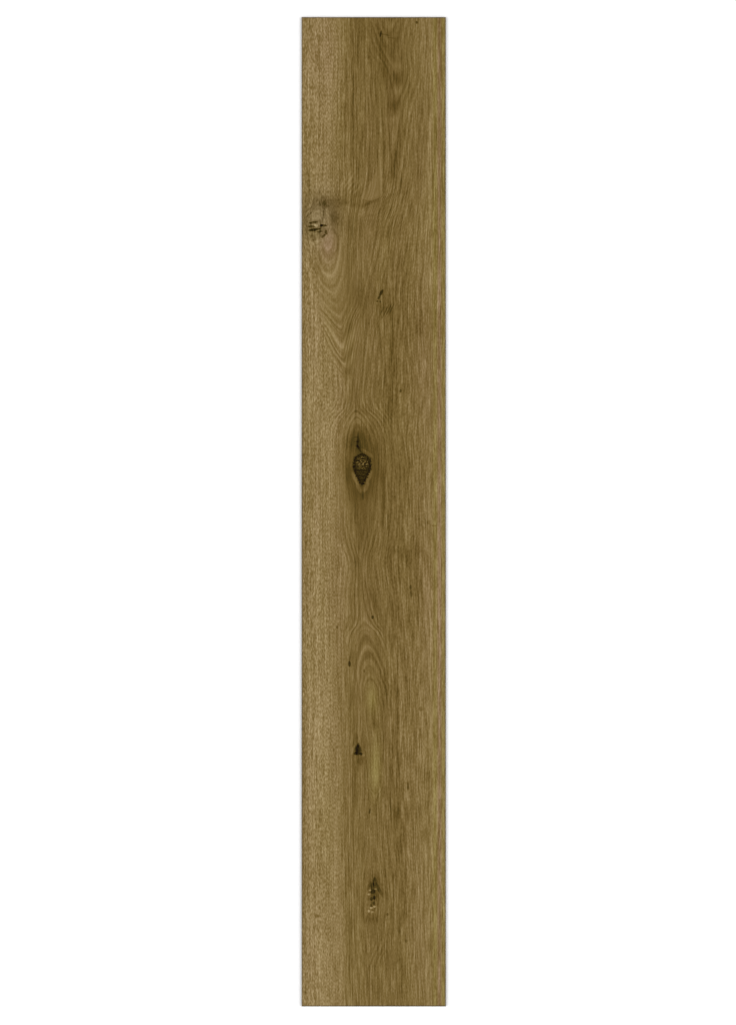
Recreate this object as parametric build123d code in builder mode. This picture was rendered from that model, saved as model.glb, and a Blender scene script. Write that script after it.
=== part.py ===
"""Vinyl floor plank: one glue-down plank of the 7 by 48 inch format, in millimetres.

The plank lies flat, face up. Its length runs along Y, its width along X, and the origin is the
middle of the back, which is the face that the adhesive bonds to the subfloor.
"""

import os

from build123d import *

# The face, edge to edge: 7 in by 48 in.
plank_width = 177.8
plank_length = 1219.2

# The whole pressed sheet, from the back to the wear surface.
plank_thickness = 3.0

# The micro-bevel milled round the face, which leaves a fine V between two planks laid edge to edge.
bevel_width = 0.8  # in from the edge, seen from above
bevel_depth = 0.5  # down the edge, seen from the side

# The sheet is pressed, cut square to its format, and then bevelled along the four edges of the face.
# The bevels of two neighbouring edges meet in a mitre at each corner.
with BuildPart() as plank:
    with BuildSketch(Plane.XY):
        Rectangle(plank_width, plank_length)
    extrude(amount=plank_thickness)
    face = plank.faces().sort_by(Axis.Z)[-1]
    chamfer(face.edges(), length=bevel_width, length2=bevel_depth, reference=face)

plank.part.label = "plank"

os.makedirs("parts", exist_ok=True)
export_step(plank.part, "parts/plank.step")
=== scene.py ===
import math
from types import SimpleNamespace

import bmesh
import bpy
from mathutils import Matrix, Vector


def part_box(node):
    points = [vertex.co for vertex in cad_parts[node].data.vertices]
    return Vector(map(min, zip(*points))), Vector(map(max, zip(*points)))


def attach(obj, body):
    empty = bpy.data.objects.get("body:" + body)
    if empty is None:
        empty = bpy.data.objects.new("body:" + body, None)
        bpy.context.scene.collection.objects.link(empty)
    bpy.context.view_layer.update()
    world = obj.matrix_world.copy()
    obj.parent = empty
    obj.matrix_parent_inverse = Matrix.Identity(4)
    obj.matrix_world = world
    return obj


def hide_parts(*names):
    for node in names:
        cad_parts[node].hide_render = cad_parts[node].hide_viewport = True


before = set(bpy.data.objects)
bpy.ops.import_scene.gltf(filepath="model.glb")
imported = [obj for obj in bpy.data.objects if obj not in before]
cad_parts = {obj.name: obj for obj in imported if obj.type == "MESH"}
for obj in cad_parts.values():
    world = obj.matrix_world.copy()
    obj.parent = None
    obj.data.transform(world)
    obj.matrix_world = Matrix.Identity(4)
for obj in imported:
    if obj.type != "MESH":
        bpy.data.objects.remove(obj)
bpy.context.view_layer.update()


# The plank: one sheet of filled vinyl, pressed from a backing, a core, a printed film and a clear wear
# layer, then cut square and bevelled round its face. It is stock before laying, so nothing fixes it:
# it lies loose on its back.

mm = 0.001
lowest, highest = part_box("plank")
half_width = highest.x / mm
half_length = highest.y / mm
thickness = highest.z / mm

# The bevel milled round the face, as the CAD has it: in from the edge, and down it.
bevel_width = 0.8
bevel_depth = 0.5

# The face is a net fine enough to take the emboss, in under 200,000 triangles.
net_across = 0.9
net_along = 3.0


def evenly(half, step):
    """Places from one side of the sheet to the other: its edge, its bevel, and even steps between."""
    inner = half - bevel_width
    count = round(2 * inner / step)
    return [-half, *(-inner + 2 * inner * i / count for i in range(count + 1)), half]


def pressed_sheet():
    """The closed sheet at the CAD's outline and bevel, its face still flat, in metres."""
    net = bmesh.new()
    across, along = evenly(half_width, net_across), evenly(half_length, net_along)
    last_column, last_row = len(across) - 1, len(along) - 1
    rows = []
    for j, y in enumerate(along):
        row = []
        for i, x in enumerate(across):
            on_edge = i in (0, last_column) or j in (0, last_row)
            height = thickness - bevel_depth if on_edge else thickness
            row.append(net.verts.new((x * mm, y * mm, height * mm)))
        rows.append(row)
    for lower, upper in zip(rows, rows[1:]):
        for i in range(last_column):
            net.faces.new((lower[i], lower[i + 1], upper[i + 1], upper[i]))
    # Two bevels meet in a mitre, from each corner of the outline to the face's corner.
    for j, next_j in ((0, 1), (last_row, last_row - 1)):
        for i, next_i in ((0, 1), (last_column, last_column - 1)):
            bmesh.ops.connect_vert_pair(net, verts=[rows[j][i], rows[next_j][next_i]])
    edge = [e for e in net.edges if e.is_boundary]
    walls = bmesh.ops.extrude_edge_only(net, edges=edge)["geom"]
    for part in walls:
        if isinstance(part, bmesh.types.BMVert):
            part.co.z = lowest.z
    foot = [e for e in net.edges if e.is_boundary]
    bmesh.ops.contextual_create(net, geom=foot)
    bmesh.ops.recalc_face_normals(net, faces=net.faces[:])
    mesh = bpy.data.meshes.new("plank_sheet")
    net.to_mesh(mesh)
    net.free()
    return mesh


sheet_mesh = pressed_sheet()
plank = bpy.data.objects.new("printed_plank", sheet_mesh)
bpy.context.scene.collection.objects.link(plank)

# The sheet's three finishes: the printed face with its bevel, the cut edges and the back.
for finish_name in ("printed_face", "cut_edge", "vinyl_back"):
    sheet_mesh.materials.append(bpy.data.materials.new(finish_name))
face_finish, edge_finish, back_finish = sheet_mesh.materials
for polygon in sheet_mesh.polygons:
    if polygon.normal.z > 0.5:
        polygon.material_index = 0
        polygon.use_smooth = True
    else:
        polygon.material_index = 1 if polygon.normal.z > -0.5 else 2
sharp_from = math.radians(20)
sheet_mesh.set_sharp_from_angle(angle=sharp_from)

# The map that the print is drawn through on export. The face has four fifths of it, and the back and
# the four edges stand beside it as strips, each as long as the map is high.
face_strip = (0.010, 0.800)
back_strip = (0.815, 0.900)
edge_strips = {
    "right": (0.912, 0.928),
    "left": (0.938, 0.954),
    "far": (0.964, 0.976),
    "near": (0.984, 0.992),
}
strip_ends = (0.010, 0.990)


def laid_out(share_across, share_along, strip):
    """A place on the map, from shares across and along a strip."""
    start, end = strip
    foot, head = strip_ends
    return (start + (end - start) * share_across, foot + (head - foot) * share_along)


bake_map = sheet_mesh.uv_layers.new(name="OFBake")
for polygon in sheet_mesh.polygons:
    normal = polygon.normal
    for corner in polygon.loop_indices:
        spot = sheet_mesh.vertices[sheet_mesh.loops[corner].vertex_index].co / mm
        share_x = spot.x / half_width / 2 + 0.5
        share_y = spot.y / half_length / 2 + 0.5
        share_z = spot.z / thickness
        if polygon.material_index == 0:
            bake_map.uv[corner].vector = laid_out(share_x, share_y, face_strip)
        elif polygon.material_index == 2:
            bake_map.uv[corner].vector = laid_out(share_x, share_y, back_strip)
        elif abs(normal.x) > 0.5:
            side = edge_strips["right" if normal.x > 0 else "left"]
            bake_map.uv[corner].vector = laid_out(share_z, share_y, side)
        else:
            side = edge_strips["far" if normal.y > 0 else "near"]
            bake_map.uv[corner].vector = laid_out(share_z, share_x, side)


class Value:
    """A number, vector or colour that varies over the plank: one output of a node. Operators on numbers
    add Math nodes to its tree, and node() adds any other node."""

    def __init__(self, socket):
        self.socket = socket

    def node(self, kind, settings=None, sockets=None, output=0):
        """Any node: its type, its settings, which are set first, and its sockets' values or links."""
        tree = self.socket.id_data
        made = tree.nodes.new(kind)
        for name, setting in (settings or {}).items():
            if name == "stops":
                ramp = made.color_ramp.elements
                for at, colour in setting[2:]:
                    ramp.new(at)
                for stop, (at, colour) in zip(ramp, setting):
                    stop.position = at
                    stop.color = (*colour, 1)
            elif name == "curve":
                points = made.mapping.curves[0].points
                for at, height in setting[2:]:
                    points.new(at, height)
                for point, place in zip(points, setting):
                    point.location = place
                made.mapping.update()
            else:
                setattr(made, name, setting)
        for name, value in (sockets or {}).items():
            if isinstance(value, Value):
                tree.links.new(value.socket, made.inputs[name])
            else:
                made.inputs[name].default_value = value
        return Value(made.outputs[output])

    def into(self, shader, name):
        """Links this value to a shader's own socket."""
        self.socket.id_data.links.new(self.socket, shader.inputs[name])

    def math(self, operation, first, second=0.0):
        return self.node("ShaderNodeMath", {"operation": operation}, {0: first, 1: second})

    def __add__(self, other):
        return self.math("ADD", self, other)

    def __radd__(self, other):
        return self.math("ADD", other, self)

    def __sub__(self, other):
        return self.math("SUBTRACT", self, other)

    def __rsub__(self, other):
        return self.math("SUBTRACT", other, self)

    def __mul__(self, other):
        return self.math("MULTIPLY", self, other)

    def __rmul__(self, other):
        return self.math("MULTIPLY", other, self)

    def __truediv__(self, other):
        return self.math("DIVIDE", self, other)

    def __rtruediv__(self, other):
        return self.math("DIVIDE", other, self)

    def __abs__(self):
        return self.math("ABSOLUTE", self)

    def __pow__(self, other):
        return self.math("POWER", self, other)

    def __rpow__(self, other):
        return self.math("POWER", other, self)


def along(place, way):
    """How far a point is along a direction."""
    return place.node("ShaderNodeVectorMath", {"operation": "DOT_PRODUCT"}, {0: place, 1: way}, "Value")


def smooth(value, start, end):
    """0 at start and 1 at end, with an easy rise between."""
    limits = {"Value": value, "From Min": start, "From Max": end}
    return value.node("ShaderNodeMapRange", {"interpolation_type": "SMOOTHSTEP", "clamp": False}, limits)


def drawn(value, points):
    """A line drawn through given (place, height) points, easing between them and level past its ends."""
    ordered = sorted(points)
    start, end = ordered[0][0], ordered[-1][0]
    heights = [height for at, height in ordered]
    low, span = min(heights), max(heights) - min(heights)
    curve = [((at - start) / (end - start), (height - low) / span) for at, height in ordered]
    share = value.node("ShaderNodeClamp", {}, {"Value": (value - start) / (end - start)})
    return share.node("ShaderNodeFloatCurve", {"curve": curve}, {"Value": share}) * span + low


def oval(place, x, y, half_across, half_along, lean=0.0):
    """The square of how far a point is from an oval's middle, which is 1 on its edge. Lean turns the
    oval's head to the right, in degrees."""
    if not lean:
        size = (1 / half_across, 1 / half_along, 0)
        middle = (-x / half_across, -y / half_along, 0)
        spot = place.node(
            "ShaderNodeVectorMath", {"operation": "MULTIPLY_ADD"}, {0: place, 1: size, 2: middle}
        )
        return along(spot, spot)
    right, ahead = math.cos(math.radians(lean)), math.sin(math.radians(lean))
    squared = 0.0
    for way_x, way_y, half in ((right, -ahead, half_across), (ahead, right, half_along)):
        out = along(place, (way_x / half, way_y / half, 0)) - (way_x * x + way_y * y) / half
        squared = out.node("ShaderNodeMath", {"operation": "MULTIPLY_ADD"}, {0: out, 1: out, 2: squared})
    return squared


def bell(squared):
    """1 where a squared distance is nought, fading as a bell curve."""
    return (1 / math.e) ** squared


def blended(share, first, second, way="MIX"):
    """Two colours blended by a share, from the first to the second."""
    varies = next(part for part in (share, first, second) if isinstance(part, Value))
    settings = {"data_type": "RGBA", "blend_type": way}
    return varies.node("ShaderNodeMix", settings, {0: share, 6: first, 7: second}, 2)


# The heart line is where the saw ran nearest to the middle of the log, along the length, as (y, x).
heart_line = [
    (609, 20), (586, 20), (549, 28), (534, 30), (502, 27), (419, 21), (345, 14), (261, -4), (138, -20),
    (58, -16), (-68, -17), (-133, -12), (-174, -8), (-216, -3), (-275, 1), (-417, 0), (-484, -1),
    (-562, -7),
]

# How far the rings have climbed along the heart line, as (y, mm), with a dark ring at each pitch. Where
# this changes they close in arches, and where it is level they run straight.
ring_pitch = 5.0
heart_climb = [
    (609, -6), (586, 0), (563, 5), (534, 10), (502, 15), (419, 20), (384, 22), (150, 22), (132, 20),
    (76, 0), (33, 0), (-41, 5), (-68, 9), (-120, 9), (-148, 1), (-176, -6), (-204, -13), (-232, -20),
    (-254, -21), (-280, -19), (-335, -19), (-358, -11), (-441, -16), (-515, -16), (-564, -6), (-609, -5),
]

# How far to each side of the heart line the arches reach, as (y, mm), and how bold they are, as
# (y, tone).
heart_reach = [
    (609, 36), (556, 36), (494, 34), (396, 26), (322, 14), (200, 32), (150, 52), (88, 44), (15, 30),
    (-59, 36), (-84, 32), (-120, 30), (-219, 28), (-293, 18), (-441, 22), (-500, 24), (-609, 18),
]
heart_bold = [
    (609, 8), (560, 9), (500, 10), (400, 9), (150, 10), (100, 10), (40, 6), (-20, 8), (-60, 10),
    (-100, 10), (-158, 15), (-220, 13), (-280, 8), (-400, 6), (-500, 5), (-570, 9), (-609, 8),
]

# How far the arches spread, and how blunt their tips are, as (y, share) and (y, mm).
heart_spread = [(609, 1.35), (500, 1.3), (380, 1.0)]
heart_blunt = [
    (609, 3), (480, 3), (150, 5), (-60, 3), (-110, 5), (-130, 7), (-148, 10), (-176, 13), (-204, 8),
    (-232, 2),
]

# The swelling that the branch of the upper left knot leaves below it: its own middle line, as (y, x), how
# far its rings have climbed along it and how blunt their tips are, as (y, mm), how bold they are, as
# (y, tone), and how much steeper on the right, as (y, share). They hang from the knot in loops, flatten
# and then close in V's.
swelling_line = [
    (340, -58), (314, -57), (287, -54), (268, -48), (250, -44), (223, -40), (193, -38), (175, -35),
    (150, -30),
]
swelling_climb = [
    (345, 2), (340, 3), (314, 10), (297, 15), (280, 20), (263, 25), (247, 30), (223, 40), (193, 52),
    (175, 60), (150, 70),
]
swelling_blunt = [
    (345, 2), (340, 3), (314, 10), (297, 15), (280, 20), (266, 22), (246, 14), (232, 8), (215, 5),
    (175, 3),
]
swelling_bold = [(345, 4), (322, 8), (290, 10), (262, 7), (240, 13), (170, 13)]
swelling_right = [(290, 1.0), (235, 1.7)]

# How far the swelling reaches, as an oval: x, y, half its width, half its length and its lean.
swelling_oval = (-43, 258, 26, 96, -7)

# How far the fibre has drifted left beside the heart, as (y, mm), and the middle and reach of that drift
# across the plank.
drift_middle = 8
drift_reach = 42
fibre_drift = [(609, 0), (425, 0), (384, 7), (300, 21), (261, 22), (-609, 10)]

# Each knot pushes the grain aside, and the waists above and below the eye knot draw it in: x, y, half its
# reach across, half its reach along, and the share.
knots = {
    "upper_left": (-68, 357, 20, 26, 0.5),
    "waist_above": (-28, 142, 24, 26, -0.35),
    "eye": (-15.7, 55, 19, 34, 0.6),
    "waist_below": (-15.7, -66, 22, 27, -0.55),
    "hole": (-19.5, -294, 9, 16, 0.4),
    "lower": (-0.5, -477, 14, 40, 0.5),
}

# The slow wander of the grain: how wide and how long its waves are, and how far they sway the heart and
# the swelling.
wander_width = 40
wander_length = 130
heart_sway = 5.0
swelling_sway = 4.0


def grown(place):
    """How the wood grew at each point of the face: its arches, its fibre across the grain, and how near
    each is to the heart and to the swelling by the upper left knot."""
    x = along(place, (1, 0, 0))
    y = along(place, (0, 1, 0))
    waves = (1 / wander_width, 1 / wander_length, 0)
    wander = place.node("ShaderNodeVectorMath", {"operation": "MULTIPLY"}, {0: place, 1: waves})
    slow = {"Vector": wander, "Scale": 1.0, "Detail": 1.0}
    sway = place.node("ShaderNodeTexNoise", {"noise_dimensions": "2D"}, slow)
    pushed = x + (sway - 0.5) * heart_sway
    for knot_x, knot_y, half_across, half_along, share in knots.values():
        pushed = pushed - (x - knot_x) * bell(oval(place, knot_x, knot_y, half_across, half_along)) * share
    from_heart = pushed - drawn(y, heart_line)
    spread = from_heart / drawn(y, heart_spread)
    blunt = drawn(y, heart_blunt)
    arch = (spread * spread + blunt * blunt) ** 0.5 - blunt + drawn(y, heart_climb)
    in_arch = smooth(abs(from_heart) / drawn(y, heart_reach), 1.0, 0.5)
    from_swelling = x + (sway - 0.5) * swelling_sway - drawn(y, swelling_line)
    right_side = from_swelling.math("MAXIMUM", from_swelling, 0.0)
    from_swelling = from_swelling + right_side * (drawn(y, swelling_right) - 1.0)
    blunt = drawn(y, swelling_blunt)
    swelling = (from_swelling * from_swelling + blunt * blunt) ** 0.5 - blunt + drawn(y, swelling_climb)
    in_swelling = smooth(oval(place, *swelling_oval), 1.15, 0.6)
    fibre = pushed + drawn(y, fibre_drift) * bell(((x - drift_middle) / drift_reach) ** 2.0)
    return SimpleNamespace(
        place=place, x=x, y=y, fibre=fibre, arch=arch, in_arch=in_arch, swelling=swelling,
        in_swelling=in_swelling,
    )


def washed(place, strokes):
    """The change of tone by soft strokes, each fading as a bell curve."""
    return sum(bell(oval(place, *spot)) * change for *spot, change in strokes)


def streaks(across, wood, width, length, detail=1.0, seed=0.0):
    """Noise drawn out along the grain, with cells that wide and long in mm and a spread of about 1."""
    spot = across.node(
        "ShaderNodeCombineXYZ", {}, {"X": across / width + seed, "Y": wood.y / length, "Z": wood.x / 50}
    )
    made = {"Vector": spot, "Scale": 1.0, "Detail": detail, "Roughness": 0.5}
    return (spot.node("ShaderNodeTexNoise", {"noise_dimensions": "3D"}, made) - 0.5) * 7.0


def rings(across, wood, seed):
    """Growth rings with a dark one each pitch, uneven as the years were, and the finer lines in them."""
    years = across * (2 * math.pi / ring_pitch) + streaks(across, wood, 9, 260, seed=seed) * 0.9
    return years.math("COSINE", years) * -0.75 + streaks(across, wood, 2.0, 260, seed=seed + 7) * 0.5


# How bold the straight lines are, how much bolder down the middle, which lies at middle_line, and right
# of the upper left knot and above the eye knot, as x, y, half the width, half the length and tone.
straight_bold = 5.0
middle_bold = 4.0
middle_line = -10
middle_reach = 45
bolder = [(10, 330, 30, 75, 2.5), (-35, 138, 25, 42, 4.0)]
straight_width = 2.3
straight_length = 190


def grain_lines(wood):
    """The tone of the grain's lines: straight ones, the arches over the heart, and the swelling's."""
    bold = bell(((wood.x - middle_line) / middle_reach) ** 2.0) * middle_bold
    bold = bold + washed(wood.place, bolder) + straight_bold
    straight = streaks(wood.fibre, wood, straight_width, straight_length, seed=7) * bold
    arches = rings(wood.arch, wood, 11) * drawn(wood.y, heart_bold)
    lines = straight + (arches - straight) * wood.in_arch
    swollen = rings(wood.swelling, wood, 29) * drawn(wood.y, swelling_bold)
    return lines + (swollen - lines) * wood.in_swelling


# The small sharp marks, each an x, y, half width, half length, lean in degrees and change of tone. First
# the pin holes and short checks that lie along the plank, from the far end.
pin_marks = [
    (53, 603, 1.4, 1.8, 0, -50), (8.6, 589, 1.2, 4, 10, -46), (9, 581, 1.0, 8, 0, -16),
    (14, 588, 6, 1.0, 12, -16), (22, 584, 5, 1.0, 10, -12), (33, 149, 1.3, 2.4, 0, -42),
    (67, -13, 2.2, 2.7, 0, -18), (74, -17, 2.7, 1.4, 0, -14), (45.5, -93, 1.6, 3.2, 0, -30),
    (46.5, -101, 1.6, 4.2, 0, -30), (-1.5, -130, 1.5, 2.4, 0, -50), (-45, -142, 1.4, 2.2, 0, -34),
    (-30, -187.5, 1.9, 3.6, 0, -50), (-30, -183, 1.0, 6, 8, -20), (-12, -196, 1.2, 2.2, 0, -28),
    (58, -243, 2.8, 3.2, 0, -18), (42, -338, 1.3, 5.4, 0, -34), (-5, -369, 1.4, 3.4, 10, -38),
    (-70, -498, 3.2, 2.2, 0, -22), (17, -496, 1.6, 1.8, 0, -34), (40, -529, 1.4, 2.2, 0, -22),
]

# The check right of the upper left knot, which runs out below in a fine slanting hatch.
slant_check = [
    (9.3, 270, 1.8, 4.5, 28, -62), (6.4, 264, 1.4, 2.6, 30, -48), (4.3, 259.5, 1.3, 1.3, 0, -34),
    (8, 259, 1.1, 1.3, 0, -28), (22.5, 251, 0.9, 7, 26, -20), (18.5, 249, 0.9, 9, 26, -26),
    (14.5, 247, 0.9, 9, 26, -24), (10.5, 248, 0.9, 6, 26, -18),
]

# The upper left knot: black cracks across its pale eye, a pale speck between them and a dark hook below.
upper_left_cracks = [
    (-75, 356.5, 5.4, 1.6, -8, -62), (-65, 352.5, 2.2, 1.6, -40, -44), (-62, 353, 4.2, 1.6, 6, -66),
    (-76, 351.5, 5, 1.5, 0, -36), (-74.5, 347.5, 6, 1.9, -6, -70), (-68.5, 348.8, 3, 1.3, 0, -40),
    (-67, 345.3, 4.5, 1.2, -6, -32), (-62, 368, 1.0, 4, 0, -40), (-62.5, 361, 1.1, 5, 8, -30),
    (-58.6, 344.5, 1.7, 3.2, -15, -52), (-62, 339.8, 1.5, 3.4, 50, -52), (-71, 352.6, 2.3, 1.8, 20, 54),
    (-80, 366, 1.2, 6, 48, -20), (-81, 372, 1.3, 6, 55, -18), (-73, 335, 4, 1.2, 0, -14),
]

# The check above the eye knot, the pale rims that hold its black drop and the thin tail below.
eye_knot_rims = [
    (-19.7, 88, 1.5, 11, 4, -34), (-18, 78, 1.3, 5, -28, -36), (-15.5, 93, 1.2, 6, -8, -14),
    (-22, 92, 2.6, 0.8, 0, -16), (-21.5, 86.5, 2.8, 0.8, 0, -16), (-21, 81, 2.6, 0.8, 0, -16),
    (-14, 76, 4.5, 2, 15, 14), (-5.5, 71, 2.2, 6.5, -48, 16), (-23, 41, 2.4, 8.5, -24, 24),
    (-18.5, 30, 2.4, 7, -20, 24), (-5.5, 43, 2.4, 8.5, 24, 24), (-9, 31, 2.4, 7, 20, 24),
    (-13.8, 26.5, 3, 5, 0, 12), (-13.2, 20, 1.2, 6, 0, -26),
]

# The hole: a three-sided black pit with a pale lip, and the lower knot: a dark cap over a column of black
# and pale specks.
hole_and_lower_knot = [
    (-19.4, -293.5, 3.9, 6.2, 0, -66), (-22.4, -298, 2.2, 2.0, 0, -54), (-15.8, -298.4, 2.0, 2.0, 0, -54),
    (-19, -287.5, 1.5, 3, 0, -46), (-25.8, -293.5, 1.6, 6, 12, 20), (-13, -300, 1.8, 1.6, 0, 16),
    (1.2, -456, 2.6, 6, 0, -34), (6.4, -465, 2.2, 9, -26, -34), (-6.5, -462, 1.8, 7, 26, -22),
    (-1.5, -461, 2.7, 4.4, 0, -34), (-1.5, -468, 3.2, 3.1, 0, -48), (0.6, -475.5, 2, 2.6, 0, -46),
    (-3, -477, 1.6, 2.6, 0, -46), (-0.3, -482, 1.5, 2.2, 0, -40), (-3.4, -485, 1.4, 2.2, 0, -36),
    (1.4, -458.5, 0.9, 4.3, 0, 40), (-4.2, -466.6, 1.9, 1.2, 0, 46), (2, -465, 1.6, 1.2, 0, 40),
    (-6, -471.5, 1.7, 1.3, 0, 42), (1, -486.5, 1.5, 1.4, 0, 54), (-2.8, -488, 1.9, 1.1, 0, 44),
    (-6, -492, 1.7, 1.8, 0, 44), (-1.5, -493, 1.5, 1.3, 0, 40), (-8.5, -501, 1.4, 5, 8, -18),
    (4, -503, 1.2, 4, -10, -14),
]


def marked(place, marks):
    """The change of tone by small marks, each a spot with a soft rim."""
    return sum(smooth(oval(place, *spot), 1.6, 0.2) * change for *spot, change in marks)


# Every small mark on the face.
face_marks = pin_marks + slant_check + upper_left_cracks + eye_knot_rims + hole_and_lower_knot

# The eye knot's black drop: its middle, how ragged its rim is and how far inside it the blacker ring lies,
# the round heart in its head, as x, y, half its width and half its length, and half the drop's width from
# above its head to below its point, as (y, mm).
eye_middle = -14.5
eye_ragged = 6.0
eye_ring = 1.6
eye_heart = (-14, 60.5, 8, 8.4)
eye_outline = [
    (73, -3), (72, 2), (69, 7), (64, 10.5), (57, 11.3), (52, 11), (47, 9), (38, 4.6), (33, 1), (31, -3),
]


def eye_knot(wood):
    """The eye knot's black drop, the grey heart in its head, the blacker ring in its rim and its specks."""
    spots = {"Vector": wood.place, "Scale": 0.42, "Detail": 3.0, "Roughness": 0.7}
    speckle = wood.place.node("ShaderNodeTexNoise", {"noise_dimensions": "2D"}, spots) - 0.5
    outside = abs(wood.x - eye_middle) - drawn(wood.y, eye_outline) + speckle * eye_ragged
    heart = smooth(oval(wood.place, *eye_heart), 1.25, 0.6)
    ring = bell(((outside + eye_ring) / eye_ring) ** 2.0)
    return smooth(outside, 1.2, -1.2), heart, ring, speckle


# How deep the press goes, in mm: at the grain's lines, the pores, the small marks and the eye knot's
# drop, whose heart stands a little higher. The first three deepen from nought between two levels, and the
# press runs out before the bevel.
line_levels = (6.0, -12.0)
line_depth = 0.07
pore_size = (1.9, 26)
pore_levels = (-0.5, -1.6)
pore_depth = 0.05
mark_levels = (-6.0, -60.0)
mark_depth = 0.16
drop_depth = 0.12
heart_rise = 0.05
press_runs_out = (0.2, 2.5)


def pressed_figure():
    """Nodes that press the grain, the marks and the knots into the face, in step with the print. Nothing
    rises, so the sheet stays as thick as it is cut."""
    tree = bpy.data.node_groups.new("emboss", "GeometryNodeTree")
    for way in ("INPUT", "OUTPUT"):
        tree.interface.new_socket("Geometry", in_out=way, socket_type="NodeSocketGeometry")
    flat = Value(tree.nodes.new("NodeGroupInput").outputs["Geometry"])
    place = Value(tree.nodes.new("GeometryNodeInputPosition").outputs["Position"])
    place = place.node("ShaderNodeVectorMath", {"operation": "SCALE"}, {0: place, "Scale": 1 / mm})
    wood = grown(place)
    lines = smooth(grain_lines(wood), *line_levels) * line_depth
    pores = smooth(streaks(wood.fibre, wood, *pore_size, seed=53), *pore_levels) * pore_depth
    drop, heart, ring, speckle = eye_knot(wood)
    marks = smooth(marked(place, face_marks), *mark_levels) * mark_depth
    depth = lines + pores + marks + drop * (drop_depth - heart * heart_rise)
    for at, half in ((wood.x, half_width), (wood.y, half_length)):
        depth = depth * smooth(half - bevel_width - abs(at), *press_runs_out)
    down = depth.node("ShaderNodeCombineXYZ", {}, {"Z": depth * -mm})
    pressed = flat.node("GeometryNodeSetPosition", {}, {"Geometry": flat, "Offset": down})
    tree.links.new(pressed.socket, tree.nodes.new("NodeGroupOutput").inputs["Geometry"])
    return tree


press = plank.modifiers.new("emboss", "NODES")
press.node_group = pressed_figure()
depsgraph = bpy.context.evaluated_depsgraph_get()
embossed_mesh = bpy.data.meshes.new_from_object(
    plank.evaluated_get(depsgraph), preserve_all_data_layers=True, depsgraph=depsgraph
)
plank.modifiers.clear()
plank.data = embossed_mesh

# The lamps give the face a little more light than full white, and the clear layer's sheen adds some.
lamp_share = 1.145
sheen_share = 0.0028


def from_screen(red, green, blue):
    """The ink that looks like this on a screen, 0 to 255, under the lamps and the sheen."""
    shown = [c / 255 / 12.92 if c <= 10 else ((c / 255 + 0.055) / 1.055) ** 2.4 for c in (red, green, blue)]
    return tuple(max(0.001, (share - sheen_share) / lamp_share) for share in shown)


# The face's ink runs from the black of a knot to the pale left side, by its tone on a screen's red scale.
ink = [
    (0.10, from_screen(25, 17, 0)), (0.18, from_screen(46, 36, 5)), (0.30, from_screen(76, 62.5, 26)),
    (0.385, from_screen(98, 77.5, 35)), (0.50, from_screen(127, 105.3, 60)),
    (0.60, from_screen(153, 132, 88.5)), (0.75, from_screen(191, 170, 128)),
]

# The tone across the plank, from the pale sapwood on the left through the dark middle.
tone_across = [
    (-88.9, 134), (-80, 138), (-67, 142), (-50, 138), (-33, 129), (-18, 121), (25, 120), (44, 123),
    (58, 129), (75, 135), (88.9, 137),
]

# How much darker each mm towards the far end is, and the slow clouds: their width and length in mm, and
# their tone.
darker_along = 0.004
cloud_size = (14, 300)
cloud_tone = 2.5

# Soft changes of tone, as strokes laid over the print: x, y, half the width, half the length, lean in
# degrees and change. First the far end: pale sapwood on the left, and the dark arches over the heart.
far_end_tones = [
    (-81, 505, 11, 75, 0, 6), (-50, 520, 7, 50, 0, 9), (-61, 540, 5, 60, 0, -6),
    (-19, 595, 12, 40, 0, -6), (-27, 495, 6, 75, 0, -5), (22, 545, 15, 50, 0, -6),
    (8, 590, 6, 20, -8, -12), (14, 552, 6, 30, -14, -14), (21, 575, 9, 9, 0, -10), (28, 549, 5, 5, 0, 16),
    (29, 535, 5.5, 7, 0, -20), (28, 519, 5, 5, 0, 8), (25, 503, 7, 8, 0, -14), (38, 540, 3.5, 32, 4, -10),
    (20, 600, 8, 6, 0, 8), (22, 484, 8, 6, 0, 9), (24, 454, 5, 28, 8, 8), (14, 455, 3, 30, 0, -6),
    (33, 458, 3, 30, 9, -14), (28, 430, 3, 16, 4, -10), (21, 414, 6, 11, 0, -14), (64, 582, 14, 26, 0, 5),
]

# The pale streak left of the heart, the pale wedge it ends in, and the dark fold under the wedge.
streak_tones = [
    (8, 445, 2.2, 60, 0, 13), (4.2, 440, 1.3, 55, 0, -12), (11.5, 440, 1.3, 50, 0, -12),
    (-9, 396, 2, 14, 14, -12), (-30, 380, 18, 3.2, 12, -12), (-5, 381, 10, 2.2, -25, -22),
    (-10, 369, 12, 5, 0, 5), (-26, 396, 10, 9, 0, -8), (-34, 411, 1.3, 12, 34, 19),
    (-31, 407, 1.3, 12, 36, 19), (-28, 403, 1.3, 12, 38, 19), (-25, 399, 1.3, 11, 40, 19),
    (-22, 395, 1.3, 10, 42, 17), (-27, 350, 12, 20, 0, -6), (9, 355, 4, 17, 10, 9),
    (18, 345, 3.5, 12, 25, -14), (3, 325, 4, 20, 14, 9), (12, 310, 4, 20, 14, 7),
]

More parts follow.
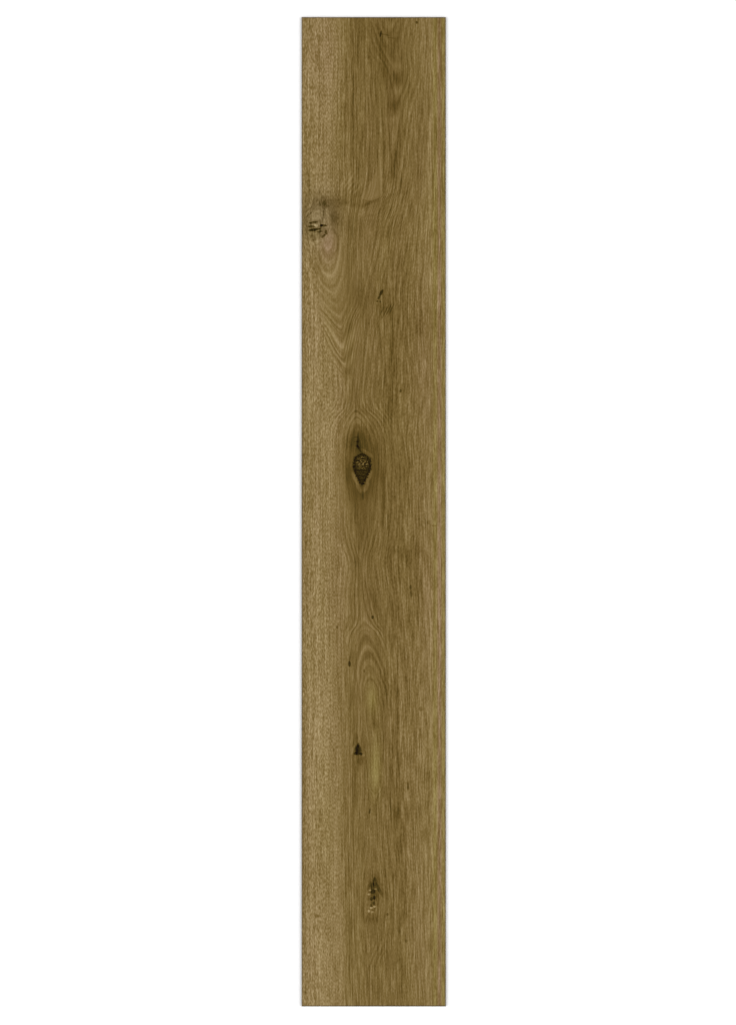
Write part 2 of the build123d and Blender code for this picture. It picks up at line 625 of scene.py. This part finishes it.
# Round the upper left knot: the dark smear over it, its pale eye, and the pale drop below.
upper_left_tones = [
    (-58, 384, 20, 11, 0, -16), (-63, 381, 9, 7, 0, -28), (-62, 377, 7, 5, 0, -23),
    (-44, 380, 11, 10, 0, -11), (-50.5, 363, 5.5, 10, -8, -42), (-42, 358, 9, 16, 0, -13),
    (-84, 356, 5, 16, 0, -18), (-70, 366, 8, 5, 0, -5), (-68, 357, 5, 2.5, 0, -10),
    (-55.5, 362, 1.6, 7, -12, 18), (-70, 350, 14, 7, 0, -20), (-74, 340, 9, 6, 0, -22),
    (-62, 345, 5, 6, 0, -14), (-74, 318, 1.6, 20, 0, -14), (-68, 300, 7, 18, 0, -9),
    (-68, 275, 8, 30, 0, -5), (-56, 330, 7, 14, 8, 7), (-64, 322, 4, 10, 0, -9),
    (-47.5, 344, 1.5, 7, -30, -22), (-44.7, 331, 1.4, 9, 0, -22), (-49, 317, 1.5, 8, 28, -20),
    (-55, 310, 1.4, 6, 34, -14),
]

# The swelling below that knot: pale loops, then dark and pale V's.
swelling_tones = [
    (-50, 300, 5, 15, 12, 7), (-43, 318, 1.3, 18, 8, 8), (-41.5, 297, 2.6, 14, 4, 6),
    (-31, 290, 1.5, 22, 0, -10), (-29, 296, 1.2, 22, 0, 6), (-44, 256, 13, 12, 0, -7),
    (-14, 266, 14, 16, 0, -13), (15, 250, 6, 14, 20, -8), (36, 286, 6, 27, 0, -7),
    (59, 234, 7, 27, 5, -12), (-22, 224, 4, 20, 8, 5), (-49, 228, 3, 10, -24, -13),
    (-29, 227, 2.6, 10, 14, -15), (-40, 219, 4.5, 5, 0, -15), (-47, 214, 2.8, 13, -24, 14),
    (-27, 214, 2.8, 13, 14, 15), (-38, 203, 4, 5, 0, 13), (-47, 203, 2, 12, -24, -17),
    (-28, 199, 2, 11, 14, -15), (-38, 191, 3, 3.5, 0, -13), (-44, 194, 2, 12, -24, 13),
    (-28, 187, 2, 10, 14, 12), (-36.5, 181, 3, 4, 0, 12), (-42, 184, 2, 12, -24, -15),
    (-28, 178, 2, 9, 14, -13), (-33, 172, 4, 4, 0, -16),
]

# Above the eye knot, the dark ring round it, and the dark patches below it.
eye_knot_tones = [
    (-25, 87, 6, 10, 0, -9), (-26, 148, 3, 15, 0, -9), (-19, 125, 10, 6, 0, -9), (22, 175, 5, 55, 0, -9),
    (-60, 100, 6, 50, 0, 8), (-82, 125, 7, 17, 0, 8), (-23, 111, 15, 4, 0, 6), (29, 224, 6, 37, 0, -5),
    (18, 135, 6, 25, 0, -4), (-15, 52, 23, 36, 0, -34), (-17, 86, 12, 15, 0, -28),
    (-34, 84, 7, 9, -10, -14), (2, 80, 7, 12, 0, -9), (7, 48, 8, 17, 0, -4), (-32, 48, 3.2, 17, 0, -24),
    (6, 48, 1.6, 18, 0, -7), (-14, 28, 12, 14, 0, -14), (-27, 18, 6, 11, 0, -9),
    (-17, -3, 11, 17, 0, -18), (-12, -37, 10, 22, 0, -14), (7, -10, 2.2, 38, 0, 11),
    (20, -4, 7, 30, 0, -9), (-42, -22, 5, 12, -20, -7), (48, -51, 13, 11, 0, -13),
    (26, -47, 10, 6, 0, -9), (38, -20, 10, 12, 0, 6), (64, -53, 2.5, 43, 0, 6), (-21, -62, 4, 8, 0, -14),
    (80, -20, 9, 38, 0, -10),
]

# The arches between the eye knot and the hole, and the pale left side down to the near end.
arch_tones = [
    (54, -97, 6, 28, 0, -9), (0, -109, 4, 12, -20, -9), (20, -109, 5, 27, 0, -11),
    (-14, -106, 9, 14, 0, -5), (-13, -143, 5, 12, 0, -3), (-8, -176, 12, 9, 0, -9),
    (-27, -178, 4, 17, 0, -9), (-2.5, -232, 5, 15, 0, 15), (2, -263, 6, 7, 0, -10),
    (15, -228, 5, 27, 0, -8), (-49, -266, 4, 15, 0, 7), (-87, -300, 4, 240, 0, -7),
    (-67, -59, 5, 85, 0, 4), (-68, -259, 6, 49, 0, 16), (-64, -349, 5, 16, 0, 9),
    (-64, -534, 5, 42, 0, 9),
]

# Round the hole and the lower knot, with the pale core between them.
near_end_tones = [
    (-19, -293, 7, 11, 0, -12), (-21, -279, 4, 6, 0, -10), (-18, -307, 5, 5, 0, -22),
    (2, -316, 7, 30, 0, 14), (-22, -327, 5, 27, 0, -10), (-9, -312, 1.2, 22, -5, -15),
    (10, -315, 1.2, 26, 4, -10), (3, -356, 3, 8, 0, -12), (18, -355, 1.8, 12, -15, -12),
    (-23, -357, 1.6, 17, 0, -12), (31, -370, 7, 11, 0, -9), (50, -370, 6, 10, 0, -9),
    (36, -411, 6, 37, 0, -6), (32, -318, 6, 35, 0, -4), (-29, -425, 1.6, 60, 0, -10),
    (-19, -417, 7, 49, 0, 4), (1, -462, 8, 14, 0, -30), (0, -482, 6, 14, 0, -14),
    (-1, -501, 8, 7, 0, -20), (1, -525, 5, 12, 0, -8), (-30, -552, 3, 42, 0, -18),
    (4, -555, 4, 17, 0, -8), (20, -546, 1.4, 60, 0, -11), (24, -480, 1.3, 60, 0, -8),
]

# Every soft stroke on the face.
face_tones = (
    far_end_tones + streak_tones + upper_left_tones + swelling_tones + eye_knot_tones + arch_tones
    + near_end_tones
)

# The pale wedge: its tone, half its width from its tip to its foot, as (y, mm), and its middle line, as
# (y, x).
wedge_tone = 12.0
wedge_outline = [(440, -1), (433, 1), (421, 3), (409, 6), (396, 10), (389, 12), (385, 6), (383, -2)]
wedge_line = [(433, 7.1), (409, 4.6), (396, 2.8), (388, 1.5)]

# Where the print leans to mauve, or below nought to olive: x, y, half its width, half its length and how
# much. The last three are stripes down the right side.
olive = (0.96, 1.02, 0.80, 1)
mauve = (1.04, 0.97, 1.22, 1)
tints = [
    (-56, 329, 10, 19, 0.5), (64, -110, 14, 110, 0.12), (62, 190, 12, 70, 0.08), (-70, 560, 20, 50, 0.1),
    (-72, 345, 8, 10, -0.2), (2, -316, 8, 34, -0.5), (-2, -232, 7, 18, -0.4), (0, -560, 20, 50, -0.1),
    (75.5, 0, 2.8, 2000, -0.5), (81, 0, 2.2, 2000, 0.7), (85.5, 0, 2.2, 2000, -0.6),
]


def tinted(wood, colour):
    """The printed colour with the film's drifts to olive and to mauve."""
    lean = washed(wood.place, tints) + streaks(wood.fibre, wood, 25, 160, seed=41) * 0.05 + 0.5
    return blended(1.0, colour, blended(lean, olive, mauve), "MULTIPLY")


# The print's fine fibre and short pebbles: their width and length in mm and their tone, with less fibre
# and more pebbles in the sapwood on the left. Both are calmer in the swelling and the wedge, by the eye
# knot, at the far end's arches and at those over the hole.
fibre_size = (1.0, 24)
fibre_tone = 13.0
pebble_size = (0.9, 3.6)
pebble_tone = 5.0
swelling_calm = 0.45
wedge_calm = 0.6
sapwood_from_to = (-25, -58)
sapwood_fibre = -4.0
sapwood_pebbles = 6.0
calmer = [(-14, 40, 26, 48, -0.6), (25, 530, 24, 80, -0.3), (-6, -190, 22, 80, -0.3)]

# The eye knot's drop: its black, the specks in it, the blacker ring, and the greyer, coarser heart.
drop_tone = 50.0
drop_specks = 110.0
ring_tone = -14.0
heart_tone = 19.0
heart_specks = 240.0

# The rim along the bevel has painted shade: darker, most of all at the near end, and greyer. The wood by
# the upper left knot is greyed too, apart from its dark cracks.
rim_from_to = (2.0, 0.4)
rim_shade_tone = 22.0
near_rim_from_to = (5.6 - half_length, 1.6 - half_length)
near_rim_shade_tone = 26.0
rim_shade_grey = 0.35
knot_grey = 0.14
knot_grey_oval = (-68, 362, 24, 34)
knot_grey_tones = (70, 115)
knot_and_rim_shade_grey = (0.17, 0.16, 0.14, 1)

# The clear layer is matt, more so on the rim, a little uneven, and has fine pores, in mm.
matt = 0.5
rim_matt = 0.15
uneven_size = (20, 90)
uneven_matt = 0.03
fibre_matt = 0.02
fine_pore_size = (0.9, 14)
fine_pore_depth = 0.02
clear_sheen = 0.046


def opened(finish):
    """A finish's shader, and the place of each point of the plank in mm."""
    finish.use_nodes = True
    tree = finish.node_tree
    place = Value(tree.nodes.new("ShaderNodeTexCoord").outputs["Object"])
    place = place.node("ShaderNodeVectorMath", {"operation": "SCALE"}, {0: place, "Scale": 1 / mm})
    return tree.nodes["Principled BSDF"], place


def print_face(finish):
    """The printed film under its clear matt layer, and the bevel, which is cut through both and dulled,
    with painted shade on the rim.
    """
    shader, place = opened(finish)
    marks = marked(place, face_marks)
    soft = washed(place, face_tones)
    wood = grown(place)
    clouds = streaks(wood.fibre, wood, *cloud_size, seed=3) * cloud_tone
    tone = drawn(wood.x, tone_across) - wood.y * darker_along + soft + clouds + grain_lines(wood)
    wedge = smooth(abs(wood.fibre - drawn(wood.y, wedge_line)) - drawn(wood.y, wedge_outline), 1.0, -1.0)
    tone = tone + wedge * wedge_tone
    calm = washed(place, calmer) - wood.in_swelling * swelling_calm - wedge * wedge_calm + 1.0
    fine = streaks(wood.fibre, wood, *fibre_size, seed=19)
    pebbles = streaks(wood.fibre, wood, *pebble_size, detail=0.0, seed=37)
    sapwood = smooth(wood.x, *sapwood_from_to)
    fibres = fine * (sapwood * sapwood_fibre + fibre_tone)
    tone = tone + (fibres + pebbles * (sapwood * sapwood_pebbles + pebble_tone)) * calm
    drop, heart, ring, speckle = eye_knot(wood)
    tone = tone + (speckle * drop_specks + drop_tone + ring * ring_tone - tone) * drop
    tone = tone + heart * drop * (speckle * heart_specks + heart_tone) + marks
    # Painted shade along the rim by the bevel, deepest at the near end; the same rim is also made more
    # matt.
    from_side = half_width - abs(wood.x)
    inside = from_side.math("MINIMUM", from_side, half_length - abs(wood.y))
    rim = smooth(inside, *rim_from_to)
    near_end = smooth(wood.y, *near_rim_from_to)
    level = (tone - rim * (near_end * near_rim_shade_tone + rim_shade_tone)) / 255
    colour = tinted(wood, level.node("ShaderNodeValToRGB", {"stops": ink}, {"Fac": level}))
    faded = bell(oval(place, *knot_grey_oval)) * smooth(tone, *knot_grey_tones) * knot_grey
    # The grey is the wood's own by the upper left knot, and painted shade on the rim.
    blended(rim * rim_shade_grey + faded, colour, knot_and_rim_shade_grey).into(shader, "Base Color")
    rough = streaks(wood.fibre, wood, *uneven_size, seed=61) * uneven_matt + fine * fibre_matt
    (rough + rim * rim_matt + matt).into(shader, "Roughness")
    pores = streaks(wood.x, wood, *fine_pore_size, seed=71)
    relief = {"Height": pores, "Distance": fine_pore_depth * mm, "Strength": 0.6}
    pores.node("ShaderNodeBump", {}, relief, "Normal").into(shader, "Normal")
    shader.inputs["Specular IOR Level"].default_value = clear_sheen


print_face(face_finish)


# The cut edges: what the saw leaves of the sheet's layers, from the back up: a grey backing, a chalky
# core with a thread of glass fibre through its middle, and the brown film under the clear layer.

edge_layers = [
    (0.0, (0.10, 0.097, 0.09)), (0.26, (0.11, 0.106, 0.10)), (0.30, (0.24, 0.225, 0.20)),
    (0.50, (0.25, 0.235, 0.21)), (0.53, (0.36, 0.35, 0.32)), (0.56, (0.25, 0.235, 0.21)),
    (0.74, (0.26, 0.245, 0.22)), (0.78, (0.17, 0.12, 0.06)), (0.84, (0.16, 0.13, 0.08)),
]
dark_grit = (0.75, 0.75, 0.75, 1)
pale_grit = (1.3, 1.3, 1.28, 1)


def cut_layers(finish):
    """The sawn layers, with the fine drag marks and chalk specks of the cut."""
    shader, place = opened(finish)
    height = place.node("ShaderNodeSeparateXYZ", {}, {"Vector": place}, "Z")
    specks = {"Vector": place, "Scale": 1.6, "Detail": 2.0}
    chalk = place.node("ShaderNodeTexNoise", {"noise_dimensions": "3D"}, specks) - 0.5
    level = height / thickness + chalk * 0.05
    colour = level.node("ShaderNodeValToRGB", {"stops": edge_layers}, {"Fac": level})
    grit = blended(chalk * 1.6 + 0.5, dark_grit, pale_grit)
    blended(1.0, colour, grit, "MULTIPLY").into(shader, "Base Color")
    (chalk * 0.3 + 0.75).into(shader, "Roughness")
    drag = {"Height": chalk, "Distance": 0.1 * mm, "Strength": 0.7}
    chalk.node("ShaderNodeBump", {}, drag, "Normal").into(shader, "Normal")
    shader.inputs["Specular IOR Level"].default_value = 0.2


cut_layers(edge_finish)


# The back: matt grey vinyl, pressed with a fine cloth so that the adhesive keys to it.

cloth_pitch = 1.4
dark_back = (0.055, 0.053, 0.05, 1)
pale_back = (0.10, 0.097, 0.092, 1)


def cloth_back(finish):
    """Plain grey vinyl with the print of the press cloth in it, and painted shade in the cloth's hollows.
    """
    shader, place = opened(finish)
    x = place.node("ShaderNodeSeparateXYZ", {}, {"Vector": place}, "X") * (2 * math.pi / cloth_pitch)
    y = place.node("ShaderNodeSeparateXYZ", {}, {"Vector": place}, "Y") * (2 * math.pi / cloth_pitch)
    weave = x.math("SINE", x) * y.math("SINE", y)
    clouds = {"Vector": place, "Scale": 0.03, "Detail": 3.0}
    cloud = place.node("ShaderNodeTexNoise", {"noise_dimensions": "2D"}, clouds)
    # The weave makes the raised cloth paler and its hollows darker: painted shade in step with the relief.
    blended(cloud + weave * 0.15, dark_back, pale_back).into(shader, "Base Color")
    (cloud * 0.2 + 0.7).into(shader, "Roughness")
    cloth = {"Height": weave, "Distance": 0.08 * mm, "Strength": 0.8}
    weave.node("ShaderNodeBump", {}, cloth, "Normal").into(shader, "Normal")
    shader.inputs["Specular IOR Level"].default_value = 0.2


cloth_back(back_finish)
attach(plank, "root")
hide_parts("plank")


# The floor: a plain pale sheet that the plank lies on.

floor_half = 12.0
floor_gap = 0.0002
floor_mesh = bpy.data.meshes.new("pale_floor")
corners = [(x * floor_half, y * floor_half, -floor_gap) for x, y in ((-1, -1), (1, -1), (1, 1), (-1, 1))]
floor_mesh.from_pydata(corners, [], [(0, 1, 2, 3)])
floor = bpy.data.objects.new("pale_floor", floor_mesh)
bpy.context.scene.collection.objects.link(floor)
floor_finish = bpy.data.materials.new("pale_paper")
floor_finish.use_nodes = True
floor_shader = floor_finish.node_tree.nodes["Principled BSDF"]
floor_shader.inputs["Base Color"].default_value = (0.96, 0.96, 0.96, 1)
floor_shader.inputs["Roughness"].default_value = 0.9
floor_shader.inputs["Specular IOR Level"].default_value = 0.1
floor_mesh.materials.append(floor_finish)


# The light: two broad lamps at the sides, as on a copy stand, and a pale room that darkens overhead.

lamp_energy = 1.79
lamp_breadth = math.radians(50)
lamp_side = math.radians(45)
lamp_tilt = math.radians(12)
for side in (-1, 1):
    lamp_light = bpy.data.lights.new("side_lamp", "SUN")
    lamp_light.energy = lamp_energy
    lamp_light.angle = lamp_breadth
    lamp = bpy.data.objects.new("side_lamp", lamp_light)
    lamp.rotation_euler = (lamp_tilt, lamp_side * side, 0)
    bpy.context.scene.collection.objects.link(lamp)

wall_shades = [(0.0, (1.0, 1.0, 1.0)), (0.15, (0.8, 0.8, 0.8)), (0.9, (0.12, 0.12, 0.12))]
room = bpy.data.worlds.new("pale_room")
bpy.context.scene.world = room
room.use_nodes = True
sky = room.node_tree.nodes["Background"]
up = Value(room.node_tree.nodes.new("ShaderNodeTexCoord").outputs["Generated"])
height = up.node("ShaderNodeSeparateXYZ", {}, {"Vector": up}, "Z")
walls = height.node("ShaderNodeValToRGB", {"stops": wall_shades}, {"Fac": height})
room.node_tree.links.new(walls.socket, sky.inputs["Color"])
bpy.context.scene.view_settings.view_transform = "Standard"


# The camera: square over the face, as the photograph is, with the plank a little right of the middle.

photo_width, photo_height = 736, 1025
plank_pixels = 989.6
plank_middle = (373.75, 511.8)
pixel = 2 * half_length * mm / plank_pixels
lens = 85.0
lens_data = bpy.data.cameras.new("copy_camera")
lens_data.lens = lens
camera = bpy.data.objects.new("copy_camera", lens_data)
camera.location = (
    (photo_width / 2 - plank_middle[0]) * pixel,
    (plank_middle[1] - photo_height / 2) * pixel,
    highest.z + photo_height * pixel * lens / lens_data.sensor_width,
)
bpy.context.scene.collection.objects.link(camera)
bpy.context.scene.camera = camera
